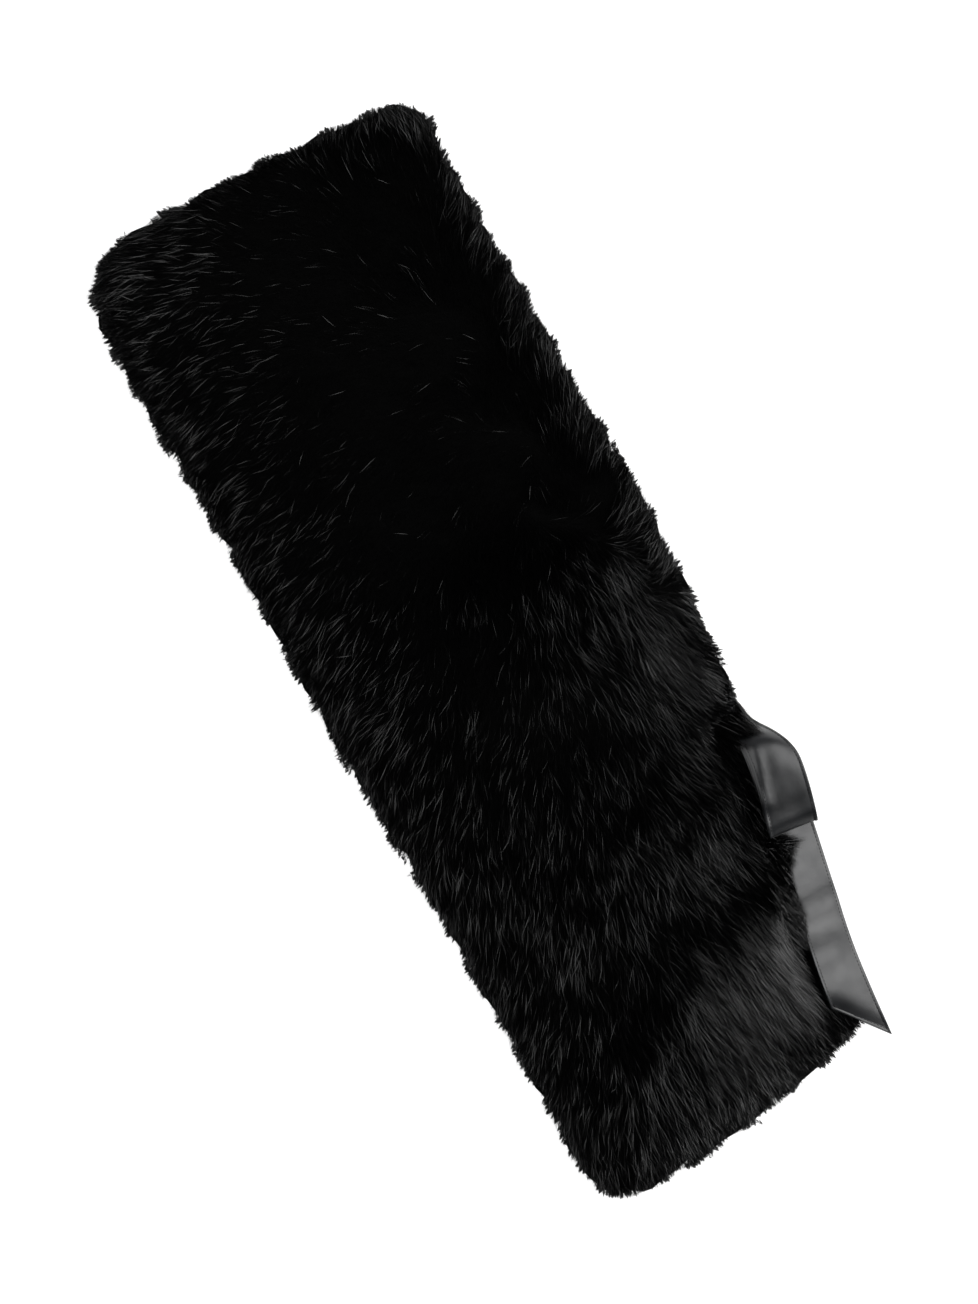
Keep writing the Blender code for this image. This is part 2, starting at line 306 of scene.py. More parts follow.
def leather_material():
    material, surface = new_material("black_nappa")
    place = add_node(material, "ShaderNodeTexCoord").outputs["Object"]
    pebble = add_node(
        material,
        "ShaderNodeTexVoronoi",
        {"feature": "SMOOTH_F1"},
        {"Scale": 1 / (PORE_PITCH * MM), "Smoothness": 0.6, "Randomness": 1.0},
        {"Vector": place},
    )
    waves, shade = mottled(material, place, 1 / (WAVE_LENGTH * MM), 2.0, ("#0b0c0e", "#15171a"), 0.45)
    satin = add_node(
        material,
        "ShaderNodeMapRange",
        values={"From Min": 0.3, "From Max": 0.7, "To Min": 0.36, "To Max": 0.46},
        links={"Value": waves},
    )
    broad = add_node(
        material,
        "ShaderNodeBump",
        values={"Strength": 0.16, "Distance": 2 * MM},
        links={"Height": waves},
    )
    grain = add_node(
        material,
        "ShaderNodeBump",
        {"invert": True},
        {"Strength": 0.25, "Distance": 0.1 * MM},
        {"Height": pebble.outputs["Distance"], "Normal": broad.outputs["Normal"]},
    )
    add_node(
        material,
        "ShaderNodeBsdfPrincipled",
        values={"IOR": 1.5, "Specular IOR Level": 0.68},
        links={
            "Base Color": shade,
            "Roughness": satin.outputs["Result"],
            "Normal": grain.outputs["Normal"],
        },
        feeds=surface,
    )
    return material


nappa = leather_material()
print(nappa.name, "has pores", PORE_PITCH, "mm apart and waves of", WAVE_LENGTH, "mm")

# %% [markdown]
# The band is sewn with bonded polyester thread, dyed black. Its faint twist breaks up the gloss, so it
# looks duller than the leather beside it.

# %% Material of the thread
TWIST_PITCH = 0.5


def thread_material():
    material, surface = new_material("bonded_thread")
    place = add_node(material, "ShaderNodeTexCoord").outputs["Object"]
    _, shade = mottled(material, place, 1 / (TWIST_PITCH * MM), 1.0, ("#060607", "#101012"))
    add_node(
        material,
        "ShaderNodeBsdfPrincipled",
        values={"Roughness": 0.6, "Specular IOR Level": 0.3},
        links={"Base Color": shade},
        feeds=surface,
    )
    return material


thread = thread_material()
print(thread.name, "has a twist every", TWIST_PITCH, "mm")

# %% [markdown]
# ## Reading the solids
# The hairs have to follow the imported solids, not a copy of their sizes. Rays shot through a solid from
# above or below give its height on a grid of points. A grid is quick to read for a hundred thousand hairs
# at once, where a ray for each point of each hair would take minutes. Points, and directions too, are arrays
# of two rows, x and y.

# %% Height grids
Grid = namedtuple("Grid", "left low step values")
WRAP_BOX = (-190, 190, -470, 464)  # left, right, low and high side of the grid
BOW_BOX = (80, 178, -432, -124)
SKY = 200.0  # rays start this high, in millimetres


def make_grid(node, box, step, from_above):
    """Heights of a solid's highest or lowest faces in millimetres, and NaN where there are none."""
    tree = BVHTree.FromObject(nodes[node], bpy.context.evaluated_depsgraph_get())
    across = np.arange(box[0], box[1] + step / 2, step)
    along = np.arange(box[2], box[3] + step / 2, step)
    values = np.full((len(along), len(across)), np.nan)
    start, way = (SKY, -1) if from_above else (-SKY, 1)
    for row, y in enumerate(along):
        for column, x in enumerate(across):
            hit = tree.ray_cast(Vector((x, y, start)) * MM, Vector((0, 0, way)))[0]
            if hit:
                values[row, column] = hit.z / MM
    return Grid(box[0], box[2], step, values)


def read_grid(grid, at):
    """The grid's values at points, blended from the four around each."""
    x, y = at
    rows, columns = grid.values.shape
    across = np.clip((x - grid.left) / grid.step, 0, columns - 1.001)
    along = np.clip((y - grid.low) / grid.step, 0, rows - 1.001)
    column, row = across.astype(int), along.astype(int)
    u, v = across - column, along - row
    values = grid.values
    lower = values[row, column] * (1 - u) + values[row, column + 1] * u
    upper = values[row + 1, column] * (1 - u) + values[row + 1, column + 1] * u
    return lower * (1 - v) + upper * v


def grid_places(grid):
    """All of a grid's points."""
    rows, columns = grid.values.shape
    return np.meshgrid(grid.left + grid.step * np.arange(columns), grid.low + grid.step * np.arange(rows))


front_top = make_grid("fur_front", WRAP_BOX, step=2.0, from_above=True)
loop_top, loop_under, tail_top, tail_under = (
    make_grid(node, BOW_BOX, step=1.0, from_above=above)
    for node in ("ribbon_loop", "ribbon_tail")
    for above in (True, False)
)
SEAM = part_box("fur_front")[0].z / MM
print("seam at", round(SEAM, 1), "mm, fur up to", round(float(np.nanmax(front_top.values)), 1), "mm")

# %% [markdown]
# The rim is where the front panel's top meets its flat back. It gives the second thing that the hairs need:
# how far inside the wrap's outline a point lies, and which way is out.

# %% Inset from the outline
WELD = 0.01 * MM


def merged_copy(node):
    """A CAD node's mesh as a bmesh, with its loose triangles joined up."""
    bm = bmesh.new()
    bm.from_mesh(nodes[node].data)
    bmesh.ops.remove_doubles(bm, verts=bm.verts, dist=WELD)
    bmesh.ops.recalc_face_normals(bm, faces=bm.faces)
    return bm


def rim_points(node, spacing):
    """Points along the edge where the node's upward faces meet its downward ones."""
    bm = merged_copy(node)
    points = []
    for edge in bm.edges:
        slopes = [face.normal.z for face in edge.link_faces]
        if len(slopes) == 2 and slopes[0] * slopes[1] < 0:
            start, end = (Vector(v.co.xy) / MM for v in edge.verts)
            count = max(round((end - start).length / spacing), 1)
            points += [start.lerp(end, i / count) for i in range(count)]
    bm.free()
    return points


rim = rim_points("fur_front", spacing=1.0)
rim_tree = KDTree(len(rim))
for number, point in enumerate(rim):
    rim_tree.insert((*point, 0), number)
rim_tree.balance()


def make_inset_grids():
    """The inset, positive inside the outline, and both parts of the direction straight out of it."""
    across, along = grid_places(front_top)
    found = np.zeros((3, *across.shape))
    for row, column in np.ndindex(across.shape):
        x, y = across[row, column], along[row, column]
        near, _, away = rim_tree.find((x, y, 0))
        sign = -1 if math.isnan(front_top.values[row, column]) else 1
        out_x, out_y = ((there - here) * sign / max(away, 0.01) for there, here in ((near.x, x), (near.y, y)))
        found[:, row, column] = away * sign, out_x, out_y
    return [front_top._replace(values=values) for values in found]


inset_grid, out_x_grid, out_y_grid = make_inset_grids()


def way_out(at):
    """The direction straight out of the outline at points."""
    return np.array([read_grid(out_x_grid, at), read_grid(out_y_grid, at)])


print("rim of", len(rim), "points, deepest inset", round(float(inset_grid.values.max())), "mm")

# %% [markdown]
# The solid's height is that of pressed pile. Loose guard hairs stand a little fuller over the rim, and
# where hands have ruffled it the loft swells and sinks. A table of long soft swells adds that, as a brush
# would: each is a bump along a line that fades to both sides.

# %% Pile surface
DROOP = 0.9  # outside the outline the pile sinks this much for each millimetre
RIM_FULLNESS = 5.0
RIM_FADE = 9.0
SWELL_FADE = 40.0  # nearer to the outline than this the swells fade out
Swell = namedtuple("Swell", "start end half_width height")
PILE_SWELLS = [
    Swell((150, 18), (10, 52), 28, 5.5),
    Swell((140, -125), (-20, -60), 34, -3.0),
    Swell((110, -138), (130, -150), 10, 13.0),
    Swell((110, -190), (-75, -215), 28, 1.5),
    Swell((110, -286), (-70, -352), 26, 6.5),
]


def swell_heights(swells, at):
    """How much a table of swells raises each point."""
    x, y = at
    total = np.zeros(np.shape(x))
    for swell in swells:
        (x0, y0), (x1, y1) = swell.start, swell.end
        run_x, run_y = x1 - x0, y1 - y0
        share = np.clip(((x - x0) * run_x + (y - y0) * run_y) / (run_x**2 + run_y**2), 0, 1)
        away = np.hypot(x - x0 - share * run_x, y - y0 - share * run_y)
        total += swell.height * np.exp(-((away / swell.half_width) ** 2))
    return total


inset = inset_grid.values
surface_z = np.where(np.isnan(front_top.values), SEAM + DROOP * inset, front_top.values)
surface_z += RIM_FULLNESS * np.exp(-np.maximum(inset, 0) / RIM_FADE)
surface_z += swell_heights(PILE_SWELLS, grid_places(front_top)) * np.clip(inset / SWELL_FADE, 0, 1)
pile_top = front_top._replace(values=surface_z)
print("pile up to", round(float(surface_z.max()), 1), "mm")

# %% [markdown]
# ## Undercoats
# Each fur panel gets its ground as a soft shell: a copy of the panel's solid with its sides drawn in, and
# with its top lowered or its underside raised to make room for the pile. A displaced copy keeps every fold
# of the solid. The two shells are the sheets of cloth that the wrap is cut from, and the hairs go with
# them.

# %% Undercoat shells
FRONT_GROUND = 0.55  # share of the front panel's loft that is ground, and not pile
FRONT_DRAWN_IN = 11.0
BACK_DRAWN_IN = 3.0
UNDERSIDE_PILE = 2.6
DRAW_IN_FADE = 44.0  # the sides' draw-in ends this far from the outline


def draw_in(at, amount):
    """Moves points of a shell in from the outline, less and less towards the middle."""
    share = 1 - np.clip(read_grid(inset_grid, at) / DRAW_IN_FADE, 0, 1)
    return at - amount * share * share * way_out(at)


def mesh_piece(name, mesh, material):
    """A finished mesh as a smooth piece, which goes with the only body."""
    mesh.materials.append(material)
    mesh.shade_smooth()
    piece = bpy.data.objects.new(name, mesh)
    bpy.context.scene.collection.objects.link(piece)
    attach(piece, "root")
    return piece


def new_piece(name, bm, material, sharp=50):
    """A bmesh as a piece, in which edges that turn by more than sharp degrees stay sharp."""
    mesh = bpy.data.meshes.new(name)
    bm.to_mesh(mesh)
    bm.free()
    piece = mesh_piece(name, mesh, material)
    mesh.set_sharp_from_angle(angle=math.radians(sharp))
    return piece


def undercoat_shell(name, node, drawn_in, new_height):
    """A copy of a fur node, drawn in at its sides, with each height passed through new_height."""
    bm = merged_copy(node)
    at = draw_in(np.array([vert.co.xy for vert in bm.verts]).T / MM, drawn_in)
    for vert, x, y in zip(bm.verts, *at):
        vert.co = Vector((x, y, new_height(vert.co.z / MM))) * MM
    piece = new_piece(name, bm, undercoat)
    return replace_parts(piece, node)


front_ground = undercoat_shell(
    "front_undercoat", "fur_front", FRONT_DRAWN_IN, lambda z: SEAM + (z - SEAM) * FRONT_GROUND
)
back_ground = undercoat_shell(
    "back_undercoat", "fur_back", BACK_DRAWN_IN, lambda z: UNDERSIDE_PILE + z * (1 - UNDERSIDE_PILE / SEAM)
)
print("shells:", len(front_ground.data.polygons), "and", len(back_ground.data.polygons), "faces")

# %% [markdown]
# ## Nap
# Nap is the way that the pile lies. The wrap was stroked by hand, so the nap turns across it: it parts
# along the right edge, sweeps left over the middle and runs towards the bow end below the bow. A table
# gives, at chosen places, the heading of the tips in degrees from the right, and how flat the hairs lie,
# from upright as they grew to combed down. Every hair blends the nearest rows.

# %% Nap table
Nap = namedtuple("Nap", "x y heading lie")
NAP_ROWS = [
    # along the left edge
    (-145, 400, 172, 0.42), (-150, 320, 184, 0.38), (-150, 240, 202, 0.38), (-148, 160, 215, 0.38),
    (-146, 80, 206, 0.38), (-146, 0, 216, 0.38), (-144, -80, 230, 0.38), (-142, -160, 240, 0.42),
    (-140, -240, 226, 0.38), (-138, -320, 220, 0.34), (-130, -400, 244, 0.34),
    # one step in from it
    (-105, 330, 188, 0.28), (-105, 230, 194, 0.25), (-105, 130, 198, 0.26), (-105, 20, 204, 0.32),
    (-100, -60, 224, 0.28), (-95, -160, 243, 0.42), (-95, -240, 240, 0.38), (-95, -330, 240, 0.38),
    # along the plain end
    (-80, 405, 160, 0.32), (0, 415, 138, 0.15), (90, 405, 70, 0.32), (142, 400, 84, 0.46),
    # the band along the right edge, beyond the parting
    (134, 320, 45, 0.45), (134, 220, 40, 0.45), (134, 130, 58, 0.44), (136, 50, 45, 0.54),
    (140, -5, 50, 0.54), (134, 270, 45, 0.45), (134, 175, 50, 0.45), (136, 90, 50, 0.5),
    # the parting
    (112, 350, 70, 0.20), (110, 260, 70, 0.20), (110, 170, 80, 0.20), (110, 80, 80, 0.20),
    (126, 60, 20, 0.05),
    # the upright middle of the upper half
    (80, 330, 120, 0.10), (80, 230, 190, 0.05), (80, 120, 220, 0.05), (0, 330, 160, 0.10),
    (0, 230, 190, 0.05), (0, 130, 215, 0.05), (-50, 190, 200, 0.20), (30, 50, 255, 0.15),
    # below the bright ridge and round the bow
    (90, 40, 268, 0.28), (60, 5, 256, 0.40), (112, 0, 274, 0.60), (70, -50, 279, 0.36),
    (112, -60, 286, 0.74), (130, -100, 290, 0.82), (143, -45, 290, 0.55), (147, -80, 292, 0.35),
    (146, -110, 294, 0.25), (145, -132, 298, 0.25), (95, -120, 286, 0.58), (110, -180, 284, 0.50),
    (70, -180, 283, 0.42), (70, -220, 284, 0.54), (75, -250, 285, 0.46), (106, -267, 286, 0.20),
    (100, -302, 287, 0.95), (99, -328, 287, 1.0), (92, -315, 286, 1.0),
    # the middle of the lower half
    (-20, 0, 240, 0.20), (-40, -70, 230, 0.32), (20, -80, 250, 0.34), (20, -160, 262, 0.38),
    (-40, -160, 248, 0.42), (-35, -215, 244, 0.37), (-40, -280, 250, 0.38), (20, -250, 274, 0.36),
    (-45, -335, 270, 0.44), (15, -340, 284, 0.68), (65, -345, 284, 0.94), (40, -290, 280, 0.58),
    # along the bow end
    (-60, -425, 268, 0.50), (10, -425, 277, 0.58), (72, -402, 284, 0.42), (112, -385, 290, 0.35),
]
NAP = [Nap(*row) for row in NAP_ROWS]
NAP_POWER = 3.0  # how sharply the nearest row wins
NAP_BLEND = 5.0  # and nearer to a row than this it stops winning


def nap_at(at):
    """The direction of the pile at points, and how flat it lies, from 0 to 1."""
    x, y = at
    total = np.zeros((4, len(x)))
    for row in NAP:
        weight = ((x - row.x) ** 2 + (y - row.y) ** 2 + NAP_BLEND**2) ** (-NAP_POWER / 2)
        heading = math.radians(row.heading)
        total += weight * np.array([[math.cos(heading)], [math.sin(heading)], [row.lie], [1.0]])
    return total[:2] / np.hypot(*total[:2]), total[2] / total[3]


def turned(toward, angle):
    """Directions turned counterclockwise."""
    x, y = toward
    return np.array([x * np.cos(angle) - y * np.sin(angle), x * np.sin(angle) + y * np.cos(angle)])


def left_of(toward):
    """Directions turned by a quarter, counterclockwise."""
    return np.array([-toward[1], toward[0]])


print(len(NAP), "rows of nap, which lie from", min(row.lie for row in NAP), "to", max(row.lie for row in NAP))

# %% [markdown]
# ## Locks
# Hairs don't lie one by one. Neighbours cling together in locks that taper to a common tip, and the tips
# make the ragged outline. Lock centres sit on a grid that is shaken out of line, so a hair finds its
# nearest one by looking at nine cells only, with no search tree.

# %% Locks of hair
Locks = namedtuple("Locks", "at turn reach over")


def scatter(pitch, least_inset, rng):
    """Roots on a grid over the wrap, each shaken within its own cell, and none near the outline."""
    grid = np.meshgrid(np.arange(*WRAP_BOX[:2], pitch), np.arange(*WRAP_BOX[2:], pitch))
    at = np.array([places.ravel() + rng.uniform(0, pitch, places.size) for places in grid])
    return at[:, read_grid(inset_grid, at) > least_inset]


def find_locks(at, pitch, rng):
    """For each hair, its lock's centre, and how that lock turns, reaches and stands over the outline."""
    x, y = at
    columns = int((WRAP_BOX[1] - WRAP_BOX[0]) / pitch) + 4
    rows = int((WRAP_BOX[3] - WRAP_BOX[2]) / pitch) + 4
    shake = rng.uniform(0.1, 0.9, (rows, columns, 2))
    random = rng.normal(0, 1, (rows, columns, 3))
    column = ((x - WRAP_BOX[0]) / pitch).astype(int) + 1
    row = ((y - WRAP_BOX[2]) / pitch).astype(int) + 1
    nearest = np.full(len(x), np.inf)
    found = np.zeros((5, len(x)))
    for d_row in (-1, 0, 1):
        for d_column in (-1, 0, 1):
            cell = np.clip(row + d_row, 0, rows - 1), np.clip(column + d_column, 0, columns - 1)
            centre_x = WRAP_BOX[0] + (cell[1] - 1 + shake[cell][:, 0]) * pitch
            centre_y = WRAP_BOX[2] + (cell[0] - 1 + shake[cell][:, 1]) * pitch
            away = (x - centre_x) ** 2 + (y - centre_y) ** 2
            closer = away < nearest
            nearest = np.where(closer, away, nearest)
            values = np.vstack([centre_x, centre_y, random[cell].T])
            found = np.where(closer, values, found)
    return Locks(found[:2], *found[2:])


# %% [markdown]
# ## Hairs
# One hair is a flat blade that tapers to a point: two or three short strips along a curve, so a hundred
# thousand of them still make a light mesh. Blender's own hair would be smoother, but it isn't a mesh and
# the export drops it. The blades are written as arrays in one go. Each is twisted about its length, so that
# only some of them face the light, which gives real fur its scattered glints.

# %% Blades
SHORT = (0.0, 0.45, 1.0)  # where a plain hair's points lie, root to tip
LONG = (0.0, 0.22, 0.6, 1.0)  # and those of a hair that bends more
TAPER = ((0.0, 0.3, 0.65, 1.0), (0.75, 1.0, 0.75, 0.0))  # along the hair, and its share of the full width
LOWEST_HAIR = 0.2  # no hair goes lower than this over the table
Hairs = namedtuple("Hairs", "path width twist")


def blade_mesh(name, hairs, rng):
    """One tapering blade for each hair's path, all in one mesh with the hair map."""
    path = hairs.path
    count, stations = path.shape[:2]
    steps = np.linalg.norm(np.diff(path, axis=1), axis=2)
    along = np.concatenate([np.zeros((count, 1)), np.cumsum(steps, axis=1)], axis=1)
    along /= along[:, -1:] + 1e-9
    run = np.gradient(path, axis=1)
    run /= np.linalg.norm(run, axis=2, keepdims=True) + 1e-9
    flat = np.cross(run, (0.0, 0.0, 1.0))
    flat /= np.linalg.norm(flat, axis=2, keepdims=True) + 1e-9
    raised = np.cross(flat, run)
    twist = hairs.twist[:, None, None]
    side = flat * np.cos(twist) + raised * np.sin(twist)
    half = (side * np.interp(along, *TAPER)[:, :, None] * (hairs.width[:, None, None] / 2))[:, :-1]
    corners = 2 * stations - 1
    points = np.empty((count, corners, 3))
    points[:, 0:-1:2] = path[:, :-1] - half
    points[:, 1::2] = path[:, :-1] + half
    points[:, -1] = path[:, -1]
    points[:, :, 2] = np.maximum(points[:, :, 2], LOWEST_HAIR)
    first = np.arange(count)[:, None] * corners
    quads = np.concatenate([first + [k, k + 1, k + 3, k + 2] for k in range(0, corners - 3, 2)])
    tips = first + [corners - 3, corners - 2, corners - 1]
    mesh = bpy.data.meshes.new(name)
    mesh.from_pydata((points.reshape(-1, 3) * MM).tolist(), [], quads.tolist() + tips.tolist())
    hair_map = np.empty((count, corners, 2))
    hair_map[:, :, 0] = rng.uniform(0, 1, count)[:, None]
    hair_map[:, :, 1] = np.repeat(along, 2, axis=1)[:, :-1]
    used = np.concatenate([quads.ravel(), tips.ravel()])
    layer = mesh.uv_layers.new(name=HAIR_MAP)
    layer.data.foreach_set("uv", hair_map.reshape(-1, 2)[used].ravel())
    return mesh


def straight_path(at, tip, bend, along):
    """Paths whose points run straight to the tips in plan, bowed sideways by bend. Heights stay to be set."""
    path = np.zeros((len(bend), len(along), 3))
    run = tip - at
    length = np.hypot(*run) + 1e-6
    for k, t in enumerate(along):
        path[:, k, :2] = (at + run * t + left_of(run) * (4 * t * (1 - t) * bend / length)).T
    return path


# %% Pieces of hair
STRETCHES = 2  # a coat is cut into this many pieces, because one mesh would be too large


def hair_piece(name, hairs, material, rng):
    piece = mesh_piece(name, blade_mesh(name, hairs, rng), material)
    count, stations = hairs.path.shape[:2]
    print(name, count, "hairs,", count * (2 * stations - 3), "triangles")
    return piece


def in_stretches(name, hairs, material, rng):
    """Hairs as several pieces, one for each stretch of the wrap."""
    along = hairs.path[:, 0, 1]
    ends = np.quantile(along, np.linspace(0, 1, STRETCHES + 1))
    ends[-1] += 1
    made = []
    for number in range(STRETCHES):
        here = (along >= ends[number]) & (along < ends[number + 1])
        part = Hairs(*(values[here] for values in hairs))
        made.append(hair_piece(f"{name}_{number + 1}", part, material, rng))
    return made


# %% [markdown]
# The hairs and the leather must not pass through each other. At the seam the pile flows over the band's
# root and up to the crown of the loop, and ends there. Everywhere else the band lies on the fur, and a hair
# goes below it. The swells of handled leather, which the band's own mesh takes later, count here already.

# %% The band's upper and lower side
BAND_SWELLS = [
    # the loop: a soft ridge along its left side, a flatter right side, and a roll above the fold
    Swell((137, -168), (125.5, -210), 6.0, 2.8),
    Swell((168, -200), (160, -240), 12.0, 3.5),
    Swell((121, -229), (158, -233), 5.0, 1.2),
    # the tail: a long low arch with soft waves across it, and an end that droops
    Swell((104, -352), (124, -356), 38.0, 7.5),
    Swell((118, -302), (136, -304), 12.0, 4.6),
    Swell((98, -336), (116, -338), 12.0, 3.0),
    Swell((93, -383), (127, -426), 10.0, -5.0),
]
BAND_MARGIN = 2  # cells by which the band's grids grow beyond it, for the width of a hair


def band_side(widest, *grids):
    """Several grids of the band as one, with its swells on it, and grown by its margin."""
    values = widest.reduce([grid.values for grid in grids])
    values = values + swell_heights(BAND_SWELLS, grid_places(grids[0]))
    for _ in range(BAND_MARGIN):
        around = [np.roll(np.roll(values, i, 0), j, 1) for i in (-1, 0, 1) for j in (-1, 0, 1)]
        values = np.where(np.isnan(values), widest.reduce(around), values)
    return grids[0]._replace(values=values)


over_band = band_side(np.fmax, loop_top, tail_top)
under_band = band_side(np.fmin, loop_under, tail_under)
over_tail = band_side(np.fmax, tail_top)
print("band up to", round(float(np.nanmax(over_band.values)), 1), "mm")

# %% Room for the band
CLEAR = 0.8
RAISED = 0.5  # a tip raised by more than this takes its whole hair up with it
SLIT_END = -150.0  # the band leaves the seam's slit here, and hairs rooted beyond it flow over the band
CROWN_LEFT = (131, -156)  # the loop's crown, where those hairs end
CROWN_RIGHT = (153, -163)
CROWN_SPAN = (130, 159)  # and the x between which it stops them
CROWN_OVERLAP = 3.0
SHORTEST = 3.0  # no hair is cut shorter than this
SHORTEST_AT_CROWN = 2.0


def nearest_cell(grid, at):
    """The grid's value at the nearest cell, NaN beyond its box."""
    x, y = at
    rows, columns = grid.values.shape
    column = np.rint((x - grid.left) / grid.step).astype(int)
    row = np.rint((y - grid.low) / grid.step).astype(int)
    inside = (column >= 0) & (column < columns) & (row >= 0) & (row < rows)
    found = np.full(np.shape(x), np.nan)
    found[inside] = grid.values[row[inside], column[inside]]
    return found


def before_crown(at):
    """How far points are from the line of the loop's crown, positive towards the seam."""
    slope = (CROWN_RIGHT[1] - CROWN_LEFT[1]) / (CROWN_RIGHT[0] - CROWN_LEFT[0])
    return at[1] - CROWN_LEFT[1] - slope * (at[0] - CROWN_LEFT[0])


def stop_at_crown(at, toward, reach, spare):
    """The reach of hairs that run against the crown, cut so that they end on it with a spare of their own."""
    start = before_crown(at)
    room = start / np.maximum(start - before_crown(at + toward), 0.1)
    meets = at[0] + toward[0] * room
    bound = (start > 0) & (meets > CROWN_SPAN[0]) & (meets < CROWN_SPAN[1])
    return np.where(bound, np.minimum(reach, np.maximum(room + spare, SHORTEST_AT_CROWN)), reach)


def make_room(path, along):
    """Moves each hair's points above or below the band. It returns the path and which hairs stay."""
    *at, z = np.moveaxis(path, 2, 0)
    flows_over = (path[:, 0, 1] > SLIT_END) & (before_crown(path[:, -1].T) > -CROWN_OVERLAP)
    lifted = np.fmax(z, nearest_cell(over_band, at) + CLEAR)
    lifted_tip = lifted[:, -1] > z[:, -1] + RAISED
    chord = lifted[:, :1] + (lifted[:, -1:] - lifted[:, :1]) * np.array(along)
    lifted = np.where(lifted_tip[:, None], np.maximum(lifted, chord), lifted)
    pressed = np.fmin(z, nearest_cell(under_band, at) - CLEAR)
    path = path.copy()
    path[:, :, 2] = np.where(flows_over[:, None], lifted, pressed)
    return path, path[:, :, 2].min(axis=1) > LOWEST_HAIR


# %% [markdown]
# ## Front pile
# Each hair starts inside the loft and reaches up to three centimetres along the nap while it rises to the
# fur's surface. That surface is read at every one of its points, so the pile follows each fold. Two coats
# grow from the same ground. The underfur stays some millimetres below the surface, and the guard hairs come
# up close to their roots and lie on top. Where the pile lies flat, more of the hairs show the sky their
# broad side and gleam, and where it stands they look finer. Each blade is rolled with the pile's slope.
# Near the outline a hair is shortened, so that its tip stands only a little over it, with its lock.

# %% The front's two coats
Coat = namedtuple("Coat", "spacing along flat_depth upright_depth rise tip_depth reach width")
UNDERFUR = Coat(1.4, SHORT, 14.0, 31.0, 1.3, (1.0, 4.5), (0.75, 1.0), (0.24, 0.4))
GUARD_HAIR = Coat(1.6, SHORT, 5.0, 25.0, 2.0, (0.0, 1.2), (0.8, 1.15), (0.17, 0.3))
FLAT_REACH = 29.0  # how far a hair reaches over the ground where the pile lies flat
UPRIGHT_REACH = 4.0  # and where it stands
LOFT_WIDTH = ((0.25, 0.5), (0.72, 1.0))  # how flat hairs lie, and the share of their width that they show
ROOT_INSET = 3.0
LOCK_PITCH = 12.0
LOCK_SEED, RUFFLE_SEED = 3, 4  # both coats share their locks and ruffles
print("a hair reaches", UPRIGHT_REACH, "mm where the pile stands and", FLAT_REACH, "mm where it lies")

# %% Ruffles, lengths and gleam
Teeth = namedtuple("Teeth", "middle spread least most")  # how far the tips of locks stand over the outline
FRONT_TEETH = Teeth(-0.5, 1.0, -2.0, 2.4)
LEAST_FACING = 0.35  # a hair that runs nearly along the outline counts as facing it by this much
GLEAM_POWER = 1.8  # the share of hairs that gleam is their lie to this power
FACING = 36  # degrees: these are twisted by up to about this, less where most of them gleam
EDGE_ON = 55  # and the others by this or more
ROLL_STEP = 5.0


def ruffle(at, rng, waves=7, longest=95.0, shortest=34.0):
    """A smooth random angle over the wrap, from a few waves: how hands have ruffled the nap."""
    x, y = at
    total = np.zeros(len(x))
    for _ in range(waves):
        heading, phase = rng.uniform(0, 2 * math.pi, 2)
        length = rng.uniform(shortest, longest)
        total += np.sin((x * math.cos(heading) + y * math.sin(heading)) * 2 * math.pi / length + phase)
    return total / math.sqrt(waves)


def lock_over(teeth, locks):
    """How far over the outline the tips of each hair's lock stand."""
    return np.clip(teeth.middle + teeth.spread * locks.over, teeth.least, teeth.most)


def shorten(at, toward, reach, over):
    """The reach with which a hair's tip stands no more than `over` beyond the outline."""
    for _ in range(3):
        tip = at + toward * reach
        beyond = -read_grid(inset_grid, tip) - over
        facing = np.maximum((way_out(tip) * toward).sum(axis=0), LEAST_FACING)
        reach = np.maximum(reach - np.maximum(beyond, 0) / facing, SHORTEST)
    return reach


def twists(share, rng):
    """Random twists in radians. This share of the hairs show the sky their broad side, and gleam."""
    facing = np.radians(FACING * (1.2 - 0.7 * share)) * rng.uniform(-1, 1, len(share))
    edge_on = np.radians(rng.uniform(EDGE_ON, 90, len(share))) * rng.choice([-1, 1], len(share))
    return np.where(rng.uniform(0, 1, len(share)) < share, facing, edge_on)


def surface_roll(at, toward):
    """How far the pile's surface is tilted sideways, in radians, under blades that run in a direction."""
    side = ROLL_STEP * left_of(toward)
    rise = read_grid(pile_top, at - side) - read_grid(pile_top, at + side)
    return np.arctan(rise / (2 * ROLL_STEP))


# %% Front pile
RUFFLE_TURN, LOCK_TURN, OWN_TURN = np.radians((7, 4, 4))
UPRIGHT_TURN = np.radians(18)  # added to a hair's own turn where hairs stand
WILD_SHARE = 0.0025  # hairs that go their own way, short and flat on the others
WILD_TURN = math.radians(35)
WILD_LIE = 0.6
WILD_REACH = 0.55
LIE_SHAKE = 0.05
CLUMPING = 0.1  # the most that a hair's tip moves to its lock's, as a share of the way
EDGE_CLUMPING = 0.22  # and what is added at the outline
CROWN_FADE = 30.0  # near the crown hairs don't clump
ROLL_AT = 0.6  # the place along a hair where the pile's slope rolls it


